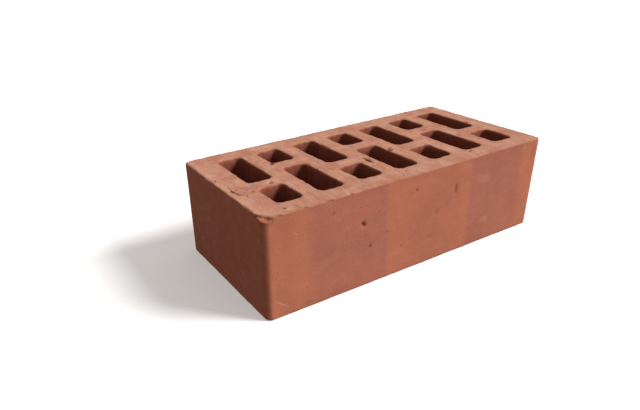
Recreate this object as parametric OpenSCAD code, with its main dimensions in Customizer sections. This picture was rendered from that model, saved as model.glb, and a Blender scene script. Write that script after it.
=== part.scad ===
// Perforated clay brick, extruded through a die and wire-cut to height.
// Seven columns of cores run from bed to bed. Each column holds one long slot
// and one short core, and the two change places from one column to the next.
// It lies on its bed: length along X, width along Y, height along Z.

/* [Brick body] */
// Length from header face to header face
brick_l = 240; // [200:1:300]
// Width from stretcher face to stretcher face
brick_w = 115; // [95:1:150]
// Height from bed to bed, set by the cutting wires
brick_h = 71; // [40:1:140]
// Radius of the four upright arrises left by the corners of the die
arris_r = 4.5; // [1:0.5:12]

/* [Core columns] */
// Number of core columns along the length, an odd number
columns = 7; // [3:2:9]
// Solid clay between a header face and the nearest column, where the cores are centred
end_shell = 17.5; // [12:0.5:28]
// How far the die let the whole pattern of cores sit off centre, towards the right header
core_shift = 2; // [-4:0.5:4]
// Size of every core along the brick
core_w = 17.5; // [10:0.5:22]
// Radius of the rounded corners of every core
core_r = 3.5; // [1:0.5:4.5]

/* [Slot and core in a column] */
// Solid clay between a stretcher face and the nearest core
side_shell = 15.5; // [10:0.5:22]
// Solid clay between the long slot and the short core of a column
cross_web = 12.5; // [8:0.5:20]
// Size of the short core across the brick
short_l = 24.5; // [14:0.5:32]

/* [Hidden] */
$fn = 48;
// Core length left over for the long slot once the shells, web and short core are set
long_l = brick_w - 2 * side_shell - cross_web - short_l;
// Distance from one column centre to the next
pitch = (brick_l - 2 * end_shell - core_w) / (columns - 1);
// Overrun that carries each cut clear of the face it leaves
clear = 5;

// Plan of a block with four rounded corners, centred on the origin
module rounded_plan(size_x, size_y, radius) {
    square([size_x - 2 * radius, size_y], center = true);
    square([size_x, size_y - 2 * radius], center = true);
    for (sx = [-1, 1], sy = [-1, 1])
        translate([sx * (size_x / 2 - radius), sy * (size_y / 2 - radius)])
            circle(r = radius);
}

// One core cut right through the brick, centred at (at_x, at_y)
module core(at_x, at_y, length) {
    translate([at_x, at_y, -clear])
        linear_extrude(height = brick_h + 2 * clear)
            rounded_plan(core_w, length, core_r);
}

// The long slot and the short core of one column; side is +1 where the slot is at the back
module core_column(at_x, side) {
    core(at_x, side * (brick_w / 2 - side_shell - long_l / 2), long_l);
    core(at_x, -side * (brick_w / 2 - side_shell - short_l / 2), short_l);
}

// The fired clay body with all its cores
module brick() {
    color("#B4735A")
        difference() {
            linear_extrude(height = brick_h)
                rounded_plan(brick_l, brick_w, arris_r);
            for (i = [0 : columns - 1])
                core_column(core_shift + (i - (columns - 1) / 2) * pitch, i % 2 == 0 ? 1 : -1);
        }
}

brick();
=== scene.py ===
# A perforated clay brick lying on its bed: one body of fired clay, extruded through a die with
# steel cores, cut to height by wires, dried and fired. Metres, +Z up, lengthwise along X.
import math

import bpy
import numpy as np
from mathutils import Matrix, Quaternion, Vector


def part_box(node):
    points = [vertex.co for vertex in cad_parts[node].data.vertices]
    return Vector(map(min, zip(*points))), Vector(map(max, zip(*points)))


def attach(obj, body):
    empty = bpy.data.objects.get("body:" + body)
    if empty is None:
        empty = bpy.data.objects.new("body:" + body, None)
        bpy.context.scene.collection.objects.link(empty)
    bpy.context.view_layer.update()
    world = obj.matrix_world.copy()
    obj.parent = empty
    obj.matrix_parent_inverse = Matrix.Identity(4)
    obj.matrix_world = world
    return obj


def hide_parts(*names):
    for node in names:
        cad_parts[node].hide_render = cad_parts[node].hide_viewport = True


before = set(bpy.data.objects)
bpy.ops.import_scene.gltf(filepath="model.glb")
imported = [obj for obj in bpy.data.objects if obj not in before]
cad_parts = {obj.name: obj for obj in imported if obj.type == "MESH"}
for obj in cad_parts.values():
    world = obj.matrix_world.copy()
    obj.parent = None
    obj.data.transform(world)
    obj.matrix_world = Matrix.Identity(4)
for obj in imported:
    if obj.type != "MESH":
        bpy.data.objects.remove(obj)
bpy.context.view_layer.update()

# ---------------------------------------------------------------- the fired clay body
# One piece of red-firing clay. The die leaves its four sides and the walls of its cores smooth,
# with fine lines along the extrusion; the cutting wires leave both beds open, rough and paler,
# drag crumbs across them and tear the rims of the cores.
MM = 0.001
low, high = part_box("brick")
brick_l, brick_w, brick_h = high - low
arris_r = 4.5 * MM
columns = 7
end_shell, core_w, core_r, core_shift = 17.5 * MM, 17.5 * MM, 3.5 * MM, 2 * MM
side_shell, cross_web, short_l = 15.5 * MM, 12.5 * MM, 24.5 * MM
long_l = brick_w - 2 * side_shell - cross_web - short_l
pitch = (brick_l - 2 * end_shell - core_w) / (columns - 1)
half_l, half_w = brick_l / 2, brick_w / 2
touch = 1e-9  # metres; nearer than this, two places are the same

# The middle of each column along X, the side of it that its slot is on, the level across the
# brick where a cell of clay round a slot meets the one round a short core, and the cells' ends.
column_x = core_shift + (np.arange(columns) - (columns - 1) / 2) * pitch
slot_side = np.where(np.arange(columns) % 2 == 0, 1, -1)
split_y = half_w - side_shell - short_l - cross_web / 2
cell_x = np.concatenate([[-half_l], (column_x[:-1] + column_x[1:]) / 2, [half_l]])


def steps(points, *sizes):
    """Values from the first point to the last that land on every point in between: each stretch
    is evenly divided at about its own size, the last size serving all stretches left."""
    sizes = sizes + sizes[-1:] * (len(points) - 1 - len(sizes))
    runs = [np.linspace(a, b, max(2, round((b - a) / size)) + 1)[:-1]
            for a, b, size in zip(points[:-1], points[1:], sizes)]
    return np.concatenate(runs + [[points[-1]]])


def rounded_side(length, radius, way):
    """One side of a rounded rectangle, from the middle of one corner arc to the middle of the
    next. way runs from 0 to 1 along it; gives the distance along the side from its sharp corner
    and the distance that the arc cuts in."""
    arc = radius * math.pi / 4
    run = way * (length - 2 * radius + 2 * arc)
    run = np.minimum(run, length - 2 * radius + 2 * arc - run)
    turn = np.maximum(math.pi / 4 - run / radius, 0)
    along = np.where(run < arc, radius - radius * np.sin(turn), radius + run - arc)
    inset = radius - radius * np.cos(turn)
    return np.where(way < 0.5, along, length - along), inset


def core_rim(x, y, half_x, half_y, ways):
    """Closed loop round one core, counter-clockwise from its low corner: each of its four sides
    is sampled at the ways given for that side."""
    loop = []
    for side, way in enumerate(ways):
        length = 2 * (half_x, half_y)[side % 2]
        along, inset = rounded_side(length, core_r, way)
        u, v = along - length / 2, inset - (half_y, half_x)[side % 2]
        turn = ((u, v), (-v, u), (-u, -v), (v, -u))[side]
        loop.append(np.stack([x + turn[0], y + turn[1]], 1))
    return np.concatenate(loop)


def soften_arris(plan):
    """Moves points on the sharp outline of the brick, near its four corners, onto the arc of
    radius arris_r: a point at s from the corner goes to the share 1 - s / r of an eighth turn."""
    x, y = np.abs(plan[:, 0]), np.abs(plan[:, 1])
    s = np.maximum(half_l - x, half_w - y)
    near = (s < arris_r) & (np.minimum(half_l - x, half_w - y) < touch)
    turn = (1 - s / arris_r) * math.pi / 4
    along = arris_r - arris_r * np.sin(turn)
    inset = arris_r - arris_r * np.cos(turn)
    on_long = (half_w - y) < (half_l - x)
    new_x = half_l - np.where(on_long, along, inset)
    new_y = half_w - np.where(on_long, inset, along)
    new_x = np.where(s < touch, half_l - along, new_x)
    new_y = np.where(s < touch, half_w - along, new_y)
    moved = np.stack([np.sign(plan[:, 0]) * new_x, np.sign(plan[:, 1]) * new_y], 1)
    return np.where(near[:, None], moved, plan)


def grid_faces(rows, across, closed, flip):
    """Quads of a grid of points numbered row by row; closed joins the last point of a row to its
    first, flip turns the faces over."""
    r, c = np.meshgrid(np.arange(rows - 1), np.arange(across if closed else across - 1), indexing="ij")
    r, c = r.ravel(), c.ravel()
    n = (c + 1) % across
    quad = np.stack([r * across + c, r * across + n, (r + 1) * across + n, (r + 1) * across + c], 1)
    return quad[:, ::-1] if flip else quad


# Spacing of the points: finer for the first stretch from the near corner, which is broken, and
# closer together in height towards the beds. Rings run from each core to the edge of its cell.
mesh_step = 1.3 * MM
fine_step, fine_run = 0.65 * MM, 13 * MM
ring_count_top, ring_count_under, ring_count_corner = 12, 7, 26
core_levels = np.array([0, 0.35, 0.9, 2, 4.5, 10, 20]) * MM
core_levels = np.concatenate([core_levels, [brick_h / 2], (brick_h - core_levels)[::-1]])
side_edge = np.array([0, 0.3, 0.8, 1.4, 2.0, 2.8, 3.8]) * MM
side_step = 2.1 * MM
side_levels = steps([side_edge[-1], brick_h - side_edge[-1]], side_step)
side_levels = np.concatenate([side_edge[:-1], side_levels, (brick_h - side_edge[:-1])[::-1]])

global_y = steps([-half_w, -half_w + fine_run, -split_y, split_y, half_w], fine_step, mesh_step)
near_x = [-half_l, -half_l + fine_run, cell_x[1]]
cell_steps = [steps(near_x, fine_step, mesh_step)]
cell_steps += [steps([a, b], mesh_step) for a, b in zip(cell_x[1:-1], cell_x[2:])]
points, faces = [], []


def put_grid(xyz, closed, flip):
    """Adds one grid of points, rows by columns, and its faces to the body."""
    rows, across = xyz.shape[:2]
    faces.append(grid_faces(rows, across, closed, flip) + sum(map(len, points)))
    points.append(xyz.reshape(-1, 3))


def at_height(plan, z):
    """The plan points at height z, as a row of the grid."""
    return np.concatenate([plan, np.full((len(plan), 1), z)], 1)


# Beds and core walls, cell by cell: the edge of a cell is matched point for point to the rim of
# its core, and both beds are rings blended from the rim out to that edge.
for i in range(columns):
    xs = cell_steps[i]
    split = -slot_side[i] * split_y
    for y0, y1 in ((-half_w, split), (split, half_w)):
        ys = global_y[(global_y > y0 - touch) & (global_y < y1 + touch)]
        x0, x1 = xs[0], xs[-1]
        border = np.concatenate([
            np.stack([xs[:-1], np.full(len(xs) - 1, y0)], 1),
            np.stack([np.full(len(ys) - 1, x1), ys[:-1]], 1),
            np.stack([xs[:0:-1], np.full(len(xs) - 1, y1)], 1),
            np.stack([np.full(len(ys) - 1, x0), ys[:0:-1]], 1)])
        way_x, way_y = (xs[:-1] - x0) / (x1 - x0), (ys[:-1] - y0) / (y1 - y0)
        back_x, back_y = (x1 - xs[:0:-1]) / (x1 - x0), (y1 - ys[:0:-1]) / (y1 - y0)
        is_slot = (y1 - y0) > brick_w / 2
        core_half = (long_l if is_slot else short_l) / 2
        at_front = y0 < -half_w + touch
        core_y = (half_w - side_shell - core_half) * (-1 if at_front else 1)
        rim = core_rim(column_x[i], core_y, core_w / 2, core_half, (way_x, way_y, back_x, back_y))
        border = soften_arris(border)
        upper_count = ring_count_corner if at_front and i == 0 else ring_count_top
        for z, count, flip in ((brick_h, upper_count, True), (0.0, ring_count_under, False)):
            blend = 0.5 - 0.5 * np.cos(math.pi * np.arange(count + 1) / count)
            ring = rim[None] + (border - rim)[None] * blend[:, None, None]
            put_grid(np.stack([at_height(row, z) for row in ring]), True, flip)
        put_grid(np.stack([at_height(rim, z) for z in core_levels]), True, True)

# Sides: one wall round the outline, on the same points as the edges of the outer cells.
outline_x = np.concatenate([xs[:-1] for xs in cell_steps] + [[half_l]])
outline = np.concatenate([
    np.stack([outline_x[:-1], np.full(len(outline_x) - 1, -half_w)], 1),
    np.stack([np.full(len(global_y) - 1, half_l), global_y[:-1]], 1),
    np.stack([outline_x[:0:-1], np.full(len(outline_x) - 1, half_w)], 1),
    np.stack([np.full(len(global_y) - 1, -half_l), global_y[:0:-1]], 1)])
outline = soften_arris(outline)
put_grid(np.stack([at_height(outline, z) for z in side_levels]), True, False)

# Points that two grids share, told by their place to the micrometre, become one, so that the body
# is closed.
everything = np.concatenate(points)
micrometres = (everything * 1e6).round().astype(np.int64)
_, first, same = np.unique(micrometres, axis=0, return_index=True, return_inverse=True)
clay = everything[first]
quads = same.ravel()[np.concatenate(faces)]


# Relief of the surface, all of it cut into the clay so that the body stays inside its real size.
# Amounts in it are in mm until they are multiplied by MM.
lattice = np.random.default_rng(7).uniform(-1, 1, (64, 64, 64))
field_shift = 11.37  # lattice cells between one random field and the next


def drift(p, size, turn):
    """Smooth random field between -1 and 1: a random value at each corner of a lattice whose cells
    have the given size in mm along X, Y and Z, blended by 3t^2 - 2t^3 in between. Each turn
    starts elsewhere in the lattice and so gives another field."""
    q = p / (np.asarray(size) * MM) + field_shift * turn
    cell = np.floor(q).astype(int)
    t = q - cell
    t = t * t * (3 - 2 * t)
    value = np.zeros(len(p))
    for corner in np.ndindex(2, 2, 2):
        weight = np.prod(np.where(corner, t, 1 - t), 1)
        i, j, k = ((cell + corner) % len(lattice)).T
        value += weight * lattice[i, j, k]
    return value


def block_distance(plan, half_x, half_y, radius):
    """Distance in plan to a rounded rectangle centred on the origin, negative inside it: the
    distance to the rectangle through its corner centres, less the radius."""
    q = np.abs(plan) - (half_x - radius, half_y - radius)
    return np.linalg.norm(np.maximum(q, 0), axis=1) + np.minimum(q.max(1), 0) - radius


def to_outline(plan):
    """Depth of clay between a point and the outside of the brick, in plan."""
    return -block_distance(plan, half_l, half_w, arris_r)


def to_core(plan):
    """Thickness of clay between a point and the nearest core, in plan."""
    nearest = np.full(len(plan), np.inf)
    for x, side in zip(column_x, slot_side):
        for half, way in ((long_l / 2, side), (short_l / 2, -side)):
            centre = (x, way * (half_w - side_shell - half))
            nearest = np.minimum(nearest, block_distance(plan - centre, core_w / 2, half, core_r))
    return nearest


no_length = 1e-12  # keeps a division by a length off zero


def into_clay(distance, plan):
    """Unit direction in plan in which a distance grows: its slope over a small step to either
    side, divided by the slope's length."""
    e = 0.02 * MM
    gx = distance(plan + (e, 0)) - distance(plan - (e, 0))
    gy = distance(plan + (0, e)) - distance(plan - (0, e))
    g = np.stack([gx, gy], 1)
    return g / np.maximum(np.linalg.norm(g, axis=1), no_length)[:, None]


def round_edge(a, b, radius):
    """Moves of a point at distances a and b from the two faces of an edge, which take it onto an
    arc of the given radius that touches both faces: towards the arc's centre, by as much as it
    lies further from there than the radius."""
    qa, qb = np.maximum(radius - a, 0), np.maximum(radius - b, 0)
    far = np.hypot(qa, qb)
    scale = np.where((qa > 0) & (qb > 0), radius / np.maximum(far, no_length), 1)
    return qa * (1 - scale), qb * (1 - scale)


def rise(value, start, end):
    """Smooth step from 0 at start to 1 at end: 3t^2 - 2t^3 of the share t of the way."""
    t = np.clip((value - start) / (end - start), 0, 1)
    return t * t * (3 - 2 * t)


# Depths of each point: from the sides and from the nearest core in plan, and from either bed.
plan, z = clay[:, :2], clay[:, 2]
outer_a, core_a = np.maximum(to_outline(plan), 0), np.maximum(to_core(plan), 0)
outer_way, core_way = into_clay(to_outline, plan), into_clay(to_core, plan)
top_b, under_b = brick_h - z, z
bed_b = np.minimum(top_b, under_b)
# How much a point belongs to a bed, to a core wall and to a rim or arris, from 0 to 1; each fades
# over the length in mm that divides its depth.
on_bed = np.exp(-bed_b / (0.5 * MM))
on_core = np.exp(-core_a / (0.4 * MM)) * (1 - np.exp(-bed_b / (0.3 * MM)))
# Rims and arrises also take painted shade by this share: the material draws them darker.
rim_painted_shade = np.exp(-core_a / (1.0 * MM)) + 0.75 * np.exp(-outer_a / (0.9 * MM))
rim_painted_shade *= np.exp(-bed_b / (1.4 * MM))
from_header = clay[:, 0] + half_l
from_front = clay[:, 1] + half_w

move = np.zeros_like(clay)
# Wire-cut edges: a small uneven round where the wire broke out of the clay. The wire left the
# clay at the near header, whose upper arris is scalloped.
wander = drift(clay, (6, 6, 30), 1)
ragged = drift(clay, (2.6, 2.6, 30), 2)
outer_round = 0.75 + 0.3 * wander + 0.35 * ragged
at_header = rise(from_header, 6 * MM, 1 * MM) * rise(top_b, 6 * MM, 1 * MM)
scallop = drift(clay, (9, 7.5, 30), 12) + 0.5 * drift(clay, (4, 3.1, 30), 13)
outer_round += at_header * np.maximum(0.2 + 1.3 * scallop, -0.3)
# Here and there the arris has spalled: small bites, in stretches some 17 mm apart.
bite = np.maximum(drift(clay, (3.4, 3.4, 30), 14) - 0.52, 0)
stretch = np.maximum(drift(clay, (17, 17, 30), 15), 0)
outer_round = (outer_round + 9 * bite * stretch) * MM
# The rims are rounder at the +Y end of each core.
core_round = (1.2 + 0.6 * wander + 0.5 * ragged) * (1 + 0.9 * np.maximum(core_way[:, 1], 0)) * MM
least_round = 0.2 * MM
for b, up in ((top_b, -1), (under_b, 1)):
    for a, way, radius in ((outer_a, outer_way, outer_round), (core_a, core_way, core_round)):
        da, db = round_edge(a, b, np.maximum(radius, least_round))
        move[:, :2] += way * da[:, None]
        move[:, 2] += up * db
# Beds: drag lines along the way of the wire, a slight wander of the cut, and a low burr along the
# scalloped arris.
drag = drift(clay, (1.7, 22, 40), 3)
crumb = drift(clay, (1.9, 1.9, 40), 4)
swell = drift(clay, (34, 30, 40), 5)
fold = np.maximum(drift(clay, (5, 13, 40), 16), 0) ** 2
burr = at_header * (1 - rise(from_header, 1.5 * MM, 4 * MM)) * np.maximum(-scallop, 0)
bed_drop = (0.40 + 0.12 * swell + 0.08 * drag + 0.10 * crumb + 0.22 * fold - 0.5 * burr) * MM
bed_drop = np.maximum(bed_drop, 0.02 * MM)
for b, up in ((top_b, -1), (under_b, 1)):
    move[:, 2] += up * bed_drop * np.exp(-b / (0.8 * MM))
# Cores: the walls wave along the extrusion, and their rims are torn by the wire.
core_wave = 0.16 * (1 + drift(clay, (9, 9, 50), 6)) + 0.05 * (1 + drift(clay, (1.8, 1.8, 70), 7))
core_tear = 0.75 * np.maximum(drift(clay, (3.2, 3.2, 3), 8), 0) * np.exp(-bed_b / (1.8 * MM))
move[:, :2] += core_way * ((core_wave + core_tear) * MM * np.exp(-core_a / (1.2 * MM)))[:, None]
# Sides: the skin from the die, with faint lines along the extrusion and shallow handling dents.
side_wave = 0.10 * (1 + drift(clay, (75, 75, 40), 9)) + 0.012 * (1 + drift(clay, (1.9, 1.9, 80), 10))
side_dent = 0.06 * (1 + drift(clay, (7, 7, 6), 11))
move[:, :2] += outer_way * ((side_wave + side_dent) * MM * np.exp(-outer_a / (1.5 * MM)))[:, None]
# The near upper corner is broken off down to a ledge, along a slanting crack that starts about
# 11 mm from the corner on the header and ends about 7 mm from it on the stretcher.
corner_cut = 1.5 * from_header + from_front + 1.0 * MM * drift(clay, (5, 5, 30), 17)
ledge = rise(corner_cut, 12.0 * MM, 9.6 * MM) * rise(top_b, 8 * MM, 1 * MM)
move[:, 2] -= ledge * (1.8 + 0.4 * drift(clay, (2.4, 2.4, 30), 18)) * MM

# Marks in the skin, in mm from the near lower corner: pits that burnt out or tore out, pale rubs, and
# one painted shadow along the crack at the broken corner. Each is a flat ellipsoid: place, half sizes,
# tilt in its face, depth and shade.
on_top, on_front, on_back, on_right = brick_h / MM, 0.0, brick_w / MM, brick_l / MM
# Each face by its axis and the way it looks.
upper_bed, lower_bed, front, back, right_header = (2, 1), (2, -1), (1, -1), (1, 1), (0, 1)
marks = {  # (x, y, z), (half x, half y, half z), tilt, depth, shade
    upper_bed: [
        ((3.4, 68.6, on_top), (0.5, 1.5, 2), -20, 0.4, 0.75),
        ((11.6, 70.4, on_top), (0.4, 1.2, 2), 10, 0.3, 0.6),
        ((5.6, 53.0, on_top), (0.45, 4.5, 2), -6, 0.3, 0.45),
        ((4.6, 46.0, on_top), (1.2, 2.0, 2), 12, 0.5, 0.9),
        ((5.8, 40.6, on_top), (1.0, 2.8, 2), 14, 0.5, 0.75),
        ((9.0, 35.0, on_top), (0.5, 2.6, 2), -10, 0.3, 0.4),
        ((11.2, 48.0, on_top), (0.5, 1.0, 2), 0, 0.3, 0.5),
        ((15.2, 39.2, on_top), (0.9, 1.5, 2), 20, 0.4, 0.55),
        ((31.8, 45.2, on_top), (1.3, 2.2, 2), -35, 0.5, 0.7),
        ((18.7, 7.2, on_top), (1.1, 1.4, 2), 15, 0.5, 0.75),
        ((69.4, 58.2, on_top), (0.6, 1.8, 2), 0, 0.3, 0.5),
        ((86.6, 38.6, on_top), (1.9, 1.4, 2), -30, 0.6, 0.9),
        ((107.4, 40.4, on_top), (1.8, 5.2, 2), -6, 0.9, 1.0),
        ((133.4, 48.0, on_top), (2.1, 3.4, 2), -42, 0.8, 1.0),
        ((101.5, 61.2, on_top), (0.9, 0.8, 2), 0, 0.2, 0.35),
        ((185.6, 68.4, on_top), (1.2, 2.4, 2), 25, 0.4, 0.4),
        ((176.6, 11.4, on_top), (2.2, 1.1, 2), 20, 0.5, 0.75),
        ((114.6, 9.6, on_top), (1.2, 0.7, 2), 20, 0.3, 0.55),
        ((41.4, 93.0, on_top), (0.5, 3.4, 2), -10, 0.3, 0.35),
        ((41.6, 82.4, on_top), (0.4, 1.6, 2), 0, 0.2, 0.3),
        ((88.5, 109.6, on_top), (1.0, 0.6, 2), 0, 0.2, 0.35),
        ((197.0, 42.0, on_top), (1.6, 2.0, 2), 30, 0.3, 0.35),
        ((226.2, 61.6, on_top), (1.5, 2.6, 2), 40, 0.7, 0.75),
        ((49.4, 74.4, on_top), (1.8, 2.6, 2), -30, 1.1, 0.8),
        # Painted shadow: a dark line without depth along the crack at the broken near corner, where the
        # lip overhangs the ledge.
        ((3.6, 5.3, on_top - 0.9), (0.45, 6.6, 2.5), 33, 0.0, 0.5),
    ],
    front: [
        ((72.9, on_front, 47.5), (2.5, 2, 1.3), 38, 0.8, 0.95),
        ((78.6, on_front, 29.5), (1.0, 2, 1.1), 0, 0.6, 0.8),
        ((153.9, on_front, 51.2), (1.6, 2, 3.3), -8, 0.4, 0.5),
        ((116.8, on_front, 59.4), (0.7, 2, 1.0), 0, 0.4, 0.6),
        ((92.6, on_front, 35.8), (0.5, 2, 0.6), 0, 0.3, 0.6),
        ((49.1, on_front, 61.0), (0.9, 2, 0.8), 0, 0.3, 0.4),
        ((137.2, on_front, 38.3), (2.2, 2, 1.6), 0, 0.2, 0.25),
        ((112.8, on_front, 24.3), (1.6, 2, 1.1), 0, 0.2, 0.2),
        ((132.4, on_front, 19.6), (2.6, 2, 1.4), 0, 0.1, 0.2),
        ((11.5, on_front, 70.3), (1.7, 2, 0.7), 0, 0.4, 0.5),
        ((29.4, on_front, 70.4), (1.1, 2, 0.6), 0, 0.3, 0.5),
        ((46.5, on_front, 70.3), (3.0, 2, 0.5), 3, 0.3, 0.4),
        ((63.0, on_front, 70.2), (0.9, 2, 0.8), 0, 0.3, 0.5),
        ((30.0, on_front, 4.2), (3.2, 2, 1.8), 0, 0.0, 0.2),
        ((51.6, on_front, 5.4), (2.4, 2, 1.6), 20, 0.0, 0.15),
        ((232.6, on_front, 61.4), (2.4, 2, 4.2), 0, 0.1, 0.16),
        ((9.6, on_front, 10.6), (4.2, 2, 0.35), 38, 0.0, -0.3),
        ((13.4, on_front, 8.4), (2.6, 2, 0.3), 50, 0.0, -0.35),
        ((21.6, on_front, 55.8), (2.2, 2, 0.3), 40, 0.0, -0.25),
        ((181.0, on_front, 52.0), (6.5, 2, 3.0), 15, 0.0, -0.11),
        ((187.0, on_front, 18.0), (4.0, 2, 2.6), 0, 0.0, -0.09),
    ],
    back: [
        ((38.0, on_back, 52.0), (1.6, 2, 1.2), 20, 0.6, 0.8),
        ((61.0, on_back, 70.3), (2.4, 2, 0.6), 0, 0.4, 0.4),
        ((86.0, on_back, 22.5), (0.9, 2, 1.0), 0, 0.5, 0.7),
        ((113.0, on_back, 12.0), (3.6, 2, 0.35), 30, 0.0, -0.3),
        ((131.0, on_back, 61.0), (0.8, 2, 0.9), 0, 0.3, 0.5),
        ((158.5, on_back, 33.0), (1.2, 2, 2.8), 12, 0.4, 0.5),
        ((176.0, on_back, 70.3), (1.4, 2, 0.7), 0, 0.4, 0.5),
        ((204.0, on_back, 47.5), (2.2, 2, 1.3), -30, 0.7, 0.85),
    ],
    right_header: [
        ((on_right, 34.0, 48.0), (2, 1.3, 1.0), 15, 0.5, 0.6),
        ((on_right, 60.0, 60.5), (2, 0.7, 1.8), 10, 0.3, 0.4),
        ((on_right, 78.5, 24.0), (2, 0.9, 1.1), 0, 0.5, 0.7),
        ((on_right, 96.0, 70.2), (2, 1.6, 0.6), 0, 0.4, 0.4),
    ],
    lower_bed: [
        ((27.0, 46.5, 0), (1.6, 2.4, 2), 20, 0.5, 0.7),
        ((78.0, 50.5, 0), (1.2, 1.5, 2), -15, 0.5, 0.7),
        ((110.0, 107.5, 0), (0.9, 1.2, 2), 0, 0.3, 0.5),
        ((140.0, 6.8, 0), (2.4, 0.9, 2), 5, 0.4, 0.5),
        ((187.5, 68.5, 0), (1.4, 2.8, 2), 35, 0.6, 0.8),
        ((222.0, 105.0, 0), (1.8, 1.1, 2), -20, 0.5, 0.6),
    ],
}
least_half = 1.1  # a pit is drawn at least this many mm to each side, so that the mesh holds it
pit_steepness = 1.2  # a pit's depth falls by exp(-1.2 d^2), d being the way out in half sizes
frames = []
for (axis, way), face_marks in marks.items():
    for where, half, tilt, depth, shade in face_marks:
        spin = np.array(Matrix.Rotation(math.radians(tilt), 3, "XYZ"[axis]))
        centre = np.array(where) * MM - (half_l, half_w, 0)
        frames.append((centre, spin, np.array(half) * MM, shade))
        local = (clay - centre) @ spin / (np.maximum(half, least_half) * MM)
        move[:, axis] -= way * depth * MM * np.exp(-pit_steepness * (local ** 2).sum(1))

shaped = clay + move
# Each point keeps its place in the frame of the mark whose edge is nearest, in half sizes of it.
in_mark, mark_shade = np.zeros_like(clay), np.zeros(len(clay))
nearest_edge = np.full(len(clay), np.inf)
for centre, spin, half, shade in frames:
    edge = np.linalg.norm(shaped - centre, axis=1) - half.max()
    closer = edge < nearest_edge
    nearest_edge[closer], mark_shade[closer] = edge[closer], shade
    in_mark[closer] = (shaped[closer] - centre) @ spin / half

mesh = bpy.data.meshes.new("brick_body")
mesh.from_pydata(shaped.tolist(), [], quads.tolist())
mesh.update()
mesh.polygons.foreach_set("use_smooth", np.ones(len(mesh.polygons), bool))
# The rim attribute carries painted shade onto rims, arrises and the broken ledge.
surface = {"bed": on_bed * (1 - 0.75 * ledge), "core": on_core,
           "rim": np.maximum(rim_painted_shade, 0.6 * ledge), "mark_shade": mark_shade}
for name, value in surface.items():
    layer = mesh.attributes.new(name, "FLOAT", "POINT")
    layer.data.foreach_set("value", value.astype(np.float32))
layer = mesh.attributes.new("in_mark", "FLOAT_VECTOR", "POINT")
layer.data.foreach_set("vector", in_mark.ravel())
body = bpy.data.objects.new("brick_body", mesh)
bpy.context.scene.collection.objects.link(body)


# Red-firing facing clay, unglazed. Dull and open-pored: no gloss, a fine sandy grain, smooth skin
# with faint upright lines where the die drew it, paler and rougher where the wire cut it.
def clay_colour(code):
    """Linear colour of an sRGB hex code."""
    channel = np.array([int(code[i:i + 2], 16) for i in (1, 3, 5)]) / 255
    linear = np.where(channel <= 0.04045, channel / 12.92, ((channel + 0.055) / 1.055) ** 2.4)
    return (*linear.tolist(), 1.0)


def put(tree, kind, links=None, **settings):
    """Adds one node: settings are its own properties, links its sockets by name or number, each
    given a value or another node's output."""
    made = tree.nodes.new(kind)
    for key, value in settings.items():
        setattr(made, key, value)
    for key, value in (links or {}).items():
        if isinstance(value, bpy.types.NodeSocket):
            tree.links.new(value, made.inputs[key])
        else:
            made.inputs[key].default_value = value
    return made


fired = bpy.data.materials.new("fired_red_clay")
fired.use_nodes = True
tree = fired.node_tree
tree.nodes.clear()
place = put(tree, "ShaderNodeTexCoord").outputs["Object"]
xyz = put(tree, "ShaderNodeSeparateXYZ", {0: place}).outputs
bed = put(tree, "ShaderNodeAttribute", attribute_name="bed").outputs["Fac"]
core = put(tree, "ShaderNodeAttribute", attribute_name="core").outputs["Fac"]
per_metre = 1 / MM

# Kiln bands along the stretchers: greyer where the next brick lay against the clay in the kiln,
# edged with orange where the air passed. Their edges wander a little and lean with the height.
# Each stop is mm along the brick and the share of grey.
band_wander, band_lean = 5 * MM, 0.05
bend = put(tree, "ShaderNodeTexNoise", {"Vector": place, "Scale": per_metre / 26,
                                        "Detail": 1.0}).outputs["Fac"]
bent = put(tree, "ShaderNodeMath", {0: bend, 1: band_wander, 2: xyz["X"]},
           operation="MULTIPLY_ADD").outputs[0]
leaned = put(tree, "ShaderNodeMath", {0: xyz["Z"], 1: band_lean, 2: bent},
             operation="MULTIPLY_ADD").outputs[0]
along = put(tree, "ShaderNodeMapRange", {"Value": leaned, "From Min": -half_l,
                                         "From Max": half_l}).outputs[0]
bands = put(tree, "ShaderNodeValToRGB", {0: along})
stops = ((0, 0.0), (32, 0.05), (41, 0.95), (95, 1.0), (98, 0.0), (105, 0.05), (116, 0.4), (148, 0.38),
         (160, 0.05), (171, 0.0), (174, 1.0), (223, 0.9), (229, 0.0))
while len(bands.color_ramp.elements) < len(stops):
    bands.color_ramp.elements.new(1.0)
for element, (at, grey) in zip(bands.color_ramp.elements, stops):
    element.position = at * MM / brick_l
    element.color = (grey, grey, grey, 1)
orange, greyed = clay_colour("#AA654A"), clay_colour("#9F5E4B")
skin = put(tree, "ShaderNodeMix", {0: bands.outputs["Color"], 6: orange, 7: greyed},
           data_type="RGBA").outputs[2]

# Painted shade: both headers are drawn browner and darker than the stretchers, standing in for the shade
# the near header lies in.
normal = put(tree, "ShaderNodeNewGeometry").outputs["Normal"]
turned = put(tree, "ShaderNodeVectorTransform", {0: normal}, vector_type="NORMAL", convert_from="WORLD",
             convert_to="OBJECT").outputs[0]
turned = put(tree, "ShaderNodeSeparateXYZ", {0: turned}).outputs
endwise = put(tree, "ShaderNodeMath", {0: turned["X"]}, operation="ABSOLUTE").outputs[0]
header_painted_shade = put(tree, "ShaderNodeMapRange", {"Value": endwise, "From Min": 0.5,
                                          "From Max": 0.95}).outputs[0]
skin = put(tree, "ShaderNodeMix", {0: header_painted_shade, 6: skin, 7: clay_colour("#8C4B32")},
           data_type="RGBA").outputs[2]

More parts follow.
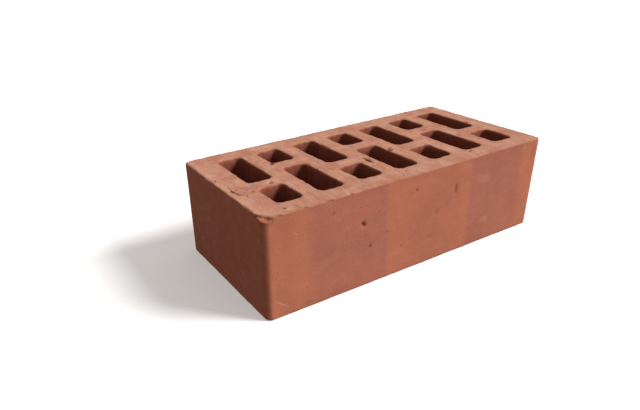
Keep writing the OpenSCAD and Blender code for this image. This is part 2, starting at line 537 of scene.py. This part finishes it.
# Slow blotches of the skin, 25 mm across, and small paler smears of 6 to 11 mm.
blotch = put(tree, "ShaderNodeTexNoise", {"Vector": place, "Scale": per_metre / 25,
                                          "Detail": 2.0}).outputs["Fac"]
blotch = put(tree, "ShaderNodeMapRange", {"Value": blotch, "From Min": 0.42, "From Max": 0.68,
                                          "To Max": 0.40}).outputs[0]
skin = put(tree, "ShaderNodeMix", {0: blotch, 6: skin, 7: clay_colour("#8E5441")},
           data_type="RGBA").outputs[2]
stretched = put(tree, "ShaderNodeMapping", {"Vector": place, "Rotation": (0, math.radians(-28), 0),
                                            "Scale": (per_metre / 11, per_metre / 8,
                                                      per_metre / 6)}).outputs[0]
smear = put(tree, "ShaderNodeTexNoise", {"Vector": stretched, "Scale": 1.0, "Detail": 4.0,
                                         "Roughness": 0.6}).outputs["Fac"]
smear = put(tree, "ShaderNodeMapRange", {"Value": smear, "From Min": 0.48, "From Max": 0.85,
                                         "To Max": 0.30}).outputs[0]
skin = put(tree, "ShaderNodeMix", {0: smear, 6: skin, 7: clay_colour("#BC7D63")},
           data_type="RGBA").outputs[2]

# Core walls: painted shade, the same clay drawn darker and redder, streaked along the extrusion every 3
# mm or so.
drawn = put(tree, "ShaderNodeMapping", {"Vector": place,
                                        "Scale": (per_metre / 3, per_metre / 3,
                                                  per_metre / 70)}).outputs[0]
streak = put(tree, "ShaderNodeTexNoise", {"Vector": drawn, "Scale": 1.0, "Detail": 2.0}).outputs["Fac"]
core_wall_painted_shade = put(tree, "ShaderNodeMix", {0: streak, 6: clay_colour("#653428"), 7: clay_colour("#874A37")},
           data_type="RGBA").outputs[2]
skin = put(tree, "ShaderNodeMix", {0: core, 6: skin, 7: core_wall_painted_shade}, data_type="RGBA").outputs[2]

# Wire-cut beds: paler, in tan and pink patches 22 mm across, rubbed pale in smaller ones, with
# faint drag streaks along the wire's way.
patch = put(tree, "ShaderNodeTexNoise", {"Vector": place, "Scale": per_metre / 22, "Detail": 2.0,
                                         "Distortion": 0.8}).outputs["Fac"]
patch = put(tree, "ShaderNodeMapRange", {"Value": patch, "From Min": 0.38, "From Max": 0.62}).outputs[0]
cut = put(tree, "ShaderNodeMix", {0: patch, 6: clay_colour("#A87660"), 7: clay_colour("#A46C58")},
          data_type="RGBA").outputs[2]
rubbed = put(tree, "ShaderNodeTexNoise", {"Vector": place, "Scale": per_metre / 13, "Detail": 4.0,
                                          "Roughness": 0.6, "Distortion": 0.5}).outputs["Fac"]
rubbed = put(tree, "ShaderNodeMapRange", {"Value": rubbed, "From Min": 0.44, "From Max": 0.70,
                                          "To Max": 0.75}).outputs[0]
cut = put(tree, "ShaderNodeMix", {0: rubbed, 6: cut, 7: clay_colour("#BD8F77")},
          data_type="RGBA").outputs[2]
dragged = put(tree, "ShaderNodeMapping", {"Vector": place, "Rotation": (0, 0, math.radians(8)),
                                          "Scale": (per_metre / 2.6, per_metre / 13,
                                                    per_metre / 20)}).outputs[0]
drag_line = put(tree, "ShaderNodeTexNoise", {"Vector": dragged, "Scale": 1.0, "Detail": 3.0,
                                             "Distortion": 0.4}).outputs["Fac"]
pale_drag = put(tree, "ShaderNodeMapRange", {"Value": drag_line, "From Min": 0.52, "From Max": 0.8,
                                             "To Max": 0.35}).outputs[0]
cut = put(tree, "ShaderNodeMix", {0: pale_drag, 6: cut, 7: clay_colour("#C99C84")},
          data_type="RGBA").outputs[2]
dark_drag = put(tree, "ShaderNodeMapRange", {"Value": drag_line, "From Min": 0.42, "From Max": 0.22,
                                             "To Max": 0.4}).outputs[0]
cut = put(tree, "ShaderNodeMix", {0: dark_drag, 6: cut, 7: clay_colour("#8F5B45")},
          data_type="RGBA").outputs[2]
# Palest over the first 4 mm behind the near header, where the wire came out, fading by 16 mm.
exit_pale = put(tree, "ShaderNodeMapRange", {"Value": leaned, "From Min": -half_l + 16 * MM,
                                             "From Max": -half_l + 4 * MM, "To Max": 0.5}).outputs[0]
cut = put(tree, "ShaderNodeMix", {0: exit_pale, 6: cut, 7: clay_colour("#C4967F")},
          data_type="RGBA").outputs[2]
colour = put(tree, "ShaderNodeMix", {0: bed, 6: skin, 7: cut}, data_type="RGBA").outputs[2]

# Painted shade: the rims of the cores, the arrises next to the beds and the broken ledge are drawn
# darker and redder.
rim = put(tree, "ShaderNodeAttribute", attribute_name="rim").outputs["Fac"]
rim = put(tree, "ShaderNodeMath", {0: rim, 1: 0.75}, operation="MULTIPLY").outputs[0]
colour = put(tree, "ShaderNodeMix", {0: rim, 6: colour, 7: clay_colour("#84472F")},
             data_type="RGBA").outputs[2]

# Sandy grain, about 1 mm, drawn twice as coarse as the real sand so that it shows.
sand = put(tree, "ShaderNodeTexNoise", {"Vector": place, "Scale": per_metre / 1.1,
                                        "Detail": 3.0}).outputs["Fac"]
sand_shade = put(tree, "ShaderNodeMapRange", {"Value": sand, "From Min": 0.35, "From Max": 0.7,
                                              "To Max": 0.16}).outputs[0]
colour = put(tree, "ShaderNodeMix", {0: sand_shade, 6: colour, 7: clay_colour("#6A3A2C")},
             data_type="RGBA").outputs[2]

# Iron specks and burnt-out bits, up to 1.5 mm across, in one of three cells of 7 mm.
speck = put(tree, "ShaderNodeTexVoronoi", {"Vector": place, "Scale": per_metre / 7})
chosen = put(tree, "ShaderNodeSeparateColor", {0: speck.outputs["Color"]}).outputs[0]
speck_size = put(tree, "ShaderNodeMapRange", {"Value": chosen, "From Min": 0.65, "From Max": 1.0,
                                         "To Max": 0.11}).outputs[0]
speck = put(tree, "ShaderNodeMath", {0: speck.outputs["Distance"], 1: speck_size},
            operation="LESS_THAN").outputs[0]
speck = put(tree, "ShaderNodeMath", {0: speck, 1: 0.5}, operation="MULTIPLY").outputs[0]

# The marks again as colour, with outlines frayed by a noise of 1.5 mm: dark pits, pale rubs and the
# painted shadow of the crack.
fray = put(tree, "ShaderNodeTexNoise", {"Vector": place, "Scale": per_metre / 1.5,
                                        "Detail": 2.0}).outputs["Fac"]
fray = put(tree, "ShaderNodeMath", {0: fray, 1: 1.9, 2: -0.95}, operation="MULTIPLY_ADD").outputs[0]
in_mark = put(tree, "ShaderNodeAttribute", attribute_name="in_mark").outputs["Vector"]
shade = put(tree, "ShaderNodeAttribute", attribute_name="mark_shade").outputs["Fac"]
far = put(tree, "ShaderNodeVectorMath", {0: in_mark}, operation="LENGTH").outputs["Value"]
far = put(tree, "ShaderNodeMath", {0: far, 1: fray}, operation="ADD").outputs[0]
near = put(tree, "ShaderNodeMapRange", {"Value": far, "From Min": 1.5, "From Max": 0.5},
           interpolation_type="SMOOTHSTEP").outputs[0]
shaded = put(tree, "ShaderNodeMath", {0: near, 1: shade}, operation="MULTIPLY").outputs[0]
dark = put(tree, "ShaderNodeMath", {0: shaded, 1: speck}, operation="MAXIMUM").outputs[0]
pale = put(tree, "ShaderNodeMath", {0: shaded, 1: -1.0}, operation="MULTIPLY").outputs[0]
colour = put(tree, "ShaderNodeMix", {0: pale, 6: colour, 7: clay_colour("#CFA08A")},
             data_type="RGBA").outputs[2]
colour = put(tree, "ShaderNodeMix", {0: dark, 6: colour, 7: clay_colour("#4E180E")},
             data_type="RGBA").outputs[2]

# Bump of up to about 0.3 mm: sand everywhere, die lines on the sides, drag lines on the beds, pits sunk.
drawn_fine = put(tree, "ShaderNodeMapping", {"Vector": place,
                                             "Scale": (per_metre / 1.1, per_metre / 1.1,
                                                       per_metre / 60)}).outputs[0]
die_line = put(tree, "ShaderNodeTexNoise", {"Vector": drawn_fine, "Scale": 1.0,
                                            "Detail": 1.0}).outputs["Fac"]
line = put(tree, "ShaderNodeMix", {0: bed, 2: die_line, 3: drag_line}).outputs[0]
line = put(tree, "ShaderNodeMath", {0: line, 1: 0.4, 2: sand}, operation="MULTIPLY_ADD").outputs[0]
height = put(tree, "ShaderNodeMath", {0: dark, 1: -0.6, 2: line}, operation="MULTIPLY_ADD").outputs[0]
rough_bed = put(tree, "ShaderNodeMapRange", {"Value": bed, "To Min": 0.18, "To Max": 0.45}).outputs[0]
bump = put(tree, "ShaderNodeBump", {"Strength": rough_bed, "Distance": 0.5 * MM,
                                    "Height": height}).outputs[0]
dull = put(tree, "ShaderNodeMapRange", {"Value": sand, "From Min": 0.3, "From Max": 0.7, "To Min": 0.84,
                                        "To Max": 0.97}).outputs[0]
shader = put(tree, "ShaderNodeBsdfPrincipled", {"Base Color": colour, "Roughness": dull, "IOR": 1.5,
                                                "Specular IOR Level": 0.25, "Normal": bump})
put(tree, "ShaderNodeOutputMaterial", {0: shader.outputs[0]})
mesh.materials.append(fired)
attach(body, "root")
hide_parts("brick")

# ---------------------------------------------------------------- floor
# A sheet of opal acrylic on a light table, far wider than the brick: pale, matt, a little light
# coming through it. It keeps its own light off the brick.
floor_half = 30.0
floor_mesh = bpy.data.meshes.new("floor_sheet")
floor_mesh.from_pydata([(-floor_half, -floor_half, 0), (floor_half, -floor_half, 0),
                        (floor_half, floor_half, 0), (-floor_half, floor_half, 0)], [], [(0, 1, 2, 3)])
floor = bpy.data.objects.new("floor_sheet", floor_mesh)
floor.visible_diffuse = False
bpy.context.scene.collection.objects.link(floor)
opal = bpy.data.materials.new("opal_acrylic")
opal.use_nodes = True
sheet = opal.node_tree.nodes["Principled BSDF"].inputs
sheet["Base Color"].default_value = clay_colour("#F2F2F1")
sheet["Roughness"].default_value = 0.95
sheet["Emission Color"].default_value = (1, 1, 1, 1)
sheet["Emission Strength"].default_value = 0.25
floor_mesh.materials.append(opal)

# ---------------------------------------------------------------- light
# One broad soft key from the right, in front and above, and a dim, slightly warm room.
key = bpy.data.lights.new("key_light", "SUN")
key.energy = 5.2
key.angle = math.radians(28)
lamp = bpy.data.objects.new("key_light", key)
key_turn, key_height = math.radians(55), math.radians(36.5)
level = math.cos(key_height)
towards = Vector((math.sin(key_turn) * level, -math.cos(key_turn) * level, math.sin(key_height)))
lamp.rotation_euler = towards.to_track_quat("Z", "Y").to_euler()
bpy.context.scene.collection.objects.link(lamp)
world = bpy.data.worlds.new("room")
world.use_nodes = True
room = world.node_tree
room.nodes.clear()
# The room lights the brick dimly; its walls, where a low view shows them, are as pale as the floor.
seen = put(room, "ShaderNodeLightPath").outputs["Is Camera Ray"]
room_light = put(room, "ShaderNodeMapRange", {"Value": seen, "To Min": 0.38, "To Max": 0.95}).outputs[0]
room_shade = put(room, "ShaderNodeBackground", {"Color": (1, 0.93, 0.88, 1), "Strength": room_light})
put(room, "ShaderNodeOutputWorld", {0: room_shade.outputs[0]})
bpy.context.scene.world = world
bpy.context.scene.view_settings.view_transform = "Standard"

# ---------------------------------------------------------------- camera
# Hand height, off the near left corner of the brick, looking a little down along it.
lens = bpy.data.cameras.new("camera")
lens.lens = 31.45
lens.shift_x, lens.shift_y = 0.06, 0.05
lens.clip_start = 0.01
camera = bpy.data.objects.new("camera", lens)
eye, aim = Vector((-0.2511, -0.3040, 0.2088)), Vector((-0.0630, 0.0201, 0.0088))
camera.location = eye
roll = Quaternion((0, 0, 1), math.radians(-2.31))
camera.rotation_euler = ((aim - eye).to_track_quat("-Z", "Y") @ roll).to_euler()
bpy.context.scene.collection.objects.link(camera)
bpy.context.scene.camera = camera
